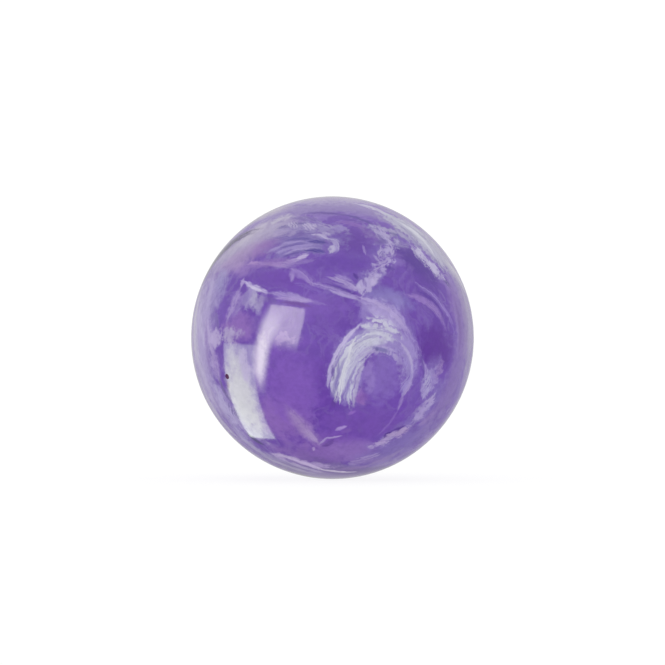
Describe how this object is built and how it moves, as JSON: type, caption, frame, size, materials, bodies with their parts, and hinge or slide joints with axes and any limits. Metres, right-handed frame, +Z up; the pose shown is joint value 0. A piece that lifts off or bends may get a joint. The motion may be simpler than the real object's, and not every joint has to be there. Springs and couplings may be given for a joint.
{
  "type": "marbled game ball",
  "caption": "Solid resin ball for tabletop football, violet with white marbling, polished smooth and unmarked.",
  "frame": {"origin": "the centre of the ball", "axes": "+Z up, and the marbled face that shows the horseshoe plume looks along -Y"},
  "size_m": [0.035, 0.035, 0.035],
  "materials": {
    "violet_resin": "polished, slightly translucent cast resin",
    "white_resin": "polished cast resin, lilac white",
    "dark_inclusion": "dark red speck under the polish"
  },
  "bodies": {
    "root": {"ball_body": "violet_resin", "arch_plume": "white_resin", "outer_ring": "white_resin", "ridge_vein": "white_resin", "web_veins": "white_resin", "brush_plume": "white_resin", "thread_vein": "white_resin", "crest_band": "white_resin", "hook_vein": "white_resin", "loop_vein": "white_resin", "left_band": "white_resin", "crown_band": "white_resin", "right_band": "white_resin", "twin_vein_upper": "white_resin", "twin_vein_lower": "white_resin", "flare_vein": "white_resin", "keel_vein": "white_resin", "side_plume": "white_resin", "back_plume": "white_resin", "back_ring": "white_resin", "back_band": "white_resin", "back_keel": "white_resin", "dark_speck": "dark_inclusion"}
  },
  "joints": []
}
